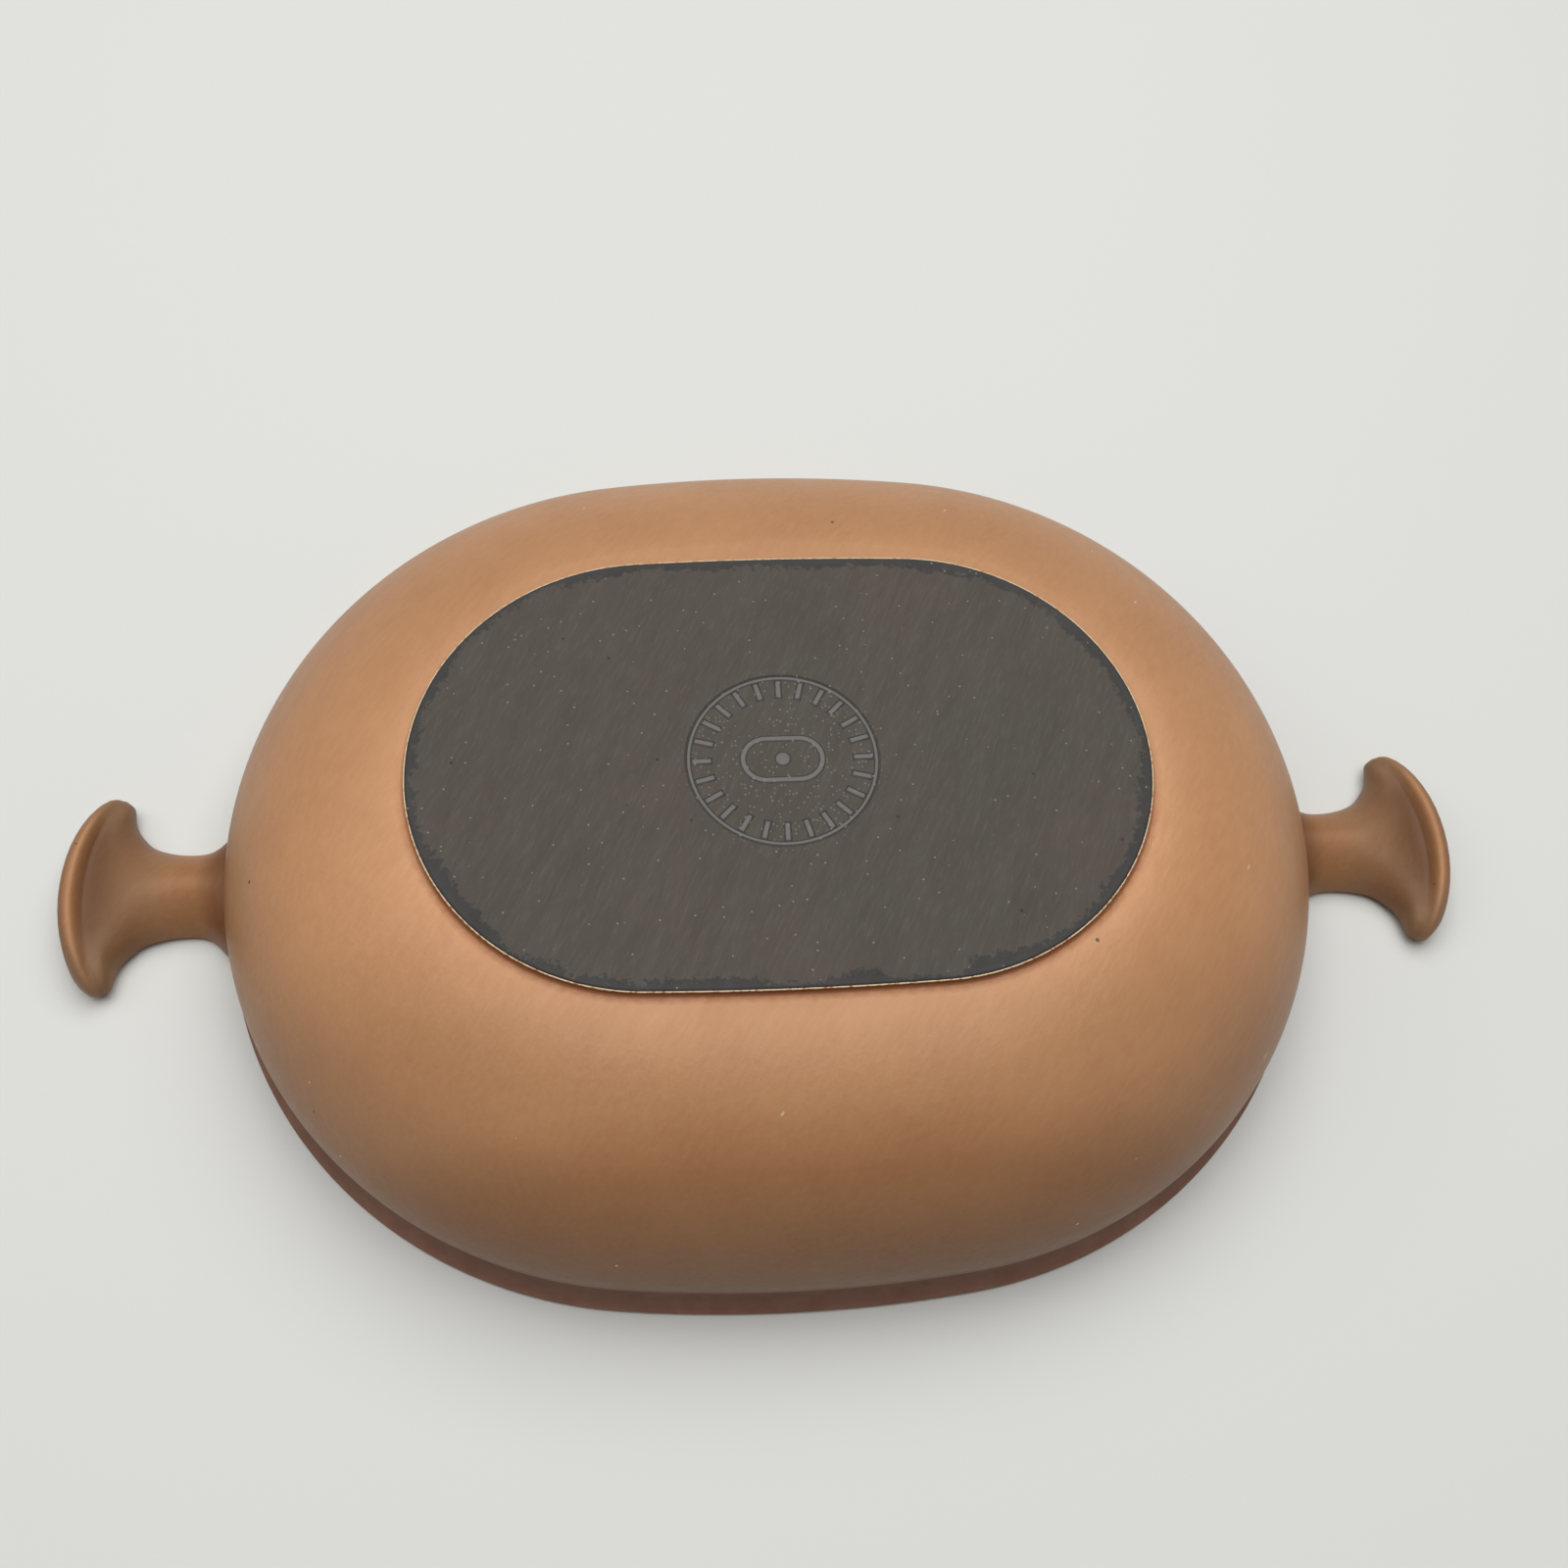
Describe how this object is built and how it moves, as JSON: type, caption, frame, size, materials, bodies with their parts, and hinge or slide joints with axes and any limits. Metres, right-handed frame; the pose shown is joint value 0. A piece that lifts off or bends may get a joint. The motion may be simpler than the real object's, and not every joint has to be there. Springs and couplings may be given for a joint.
{
  "type": "enamelled cast iron oval dish",
  "caption": "Oval baking dish in enamelled cast iron with a lug handle at each end, standing upside down on its rim.",
  "frame": {"origin": "centre of the rim plane, which is the lowest face of the dish as it stands here, upside down on its rim", "axes": "+Z from the rim plane to the foot, so the foot faces up; +X from handle to handle; +Y across the dish. For use the right way up, turn the row by 180 degrees about +X and lift it by its height, 0.060 m"},
  "size_m": [0.3332, 0.2076, 0.06],
  "materials": {
    "iron": "rough, as cast",
    "bronze_enamel": "satin",
    "inner_enamel": "satin",
    "ground_coat": "matt",
    "foot_coat": "matt, worn"
  },
  "bodies": {
    "root": {"bowl_casting": "iron", "foot_pad": "iron", "handle_left": "iron", "handle_right": "iron", "outer_enamel": "bronze_enamel", "inner_enamel": "inner_enamel", "handle_enamel_left": "bronze_enamel", "handle_enamel_right": "bronze_enamel", "rim_ground_coat": "ground_coat", "foot_ground_coat": "foot_coat", "casting_mark": "foot_coat"}
  },
  "joints": []
}
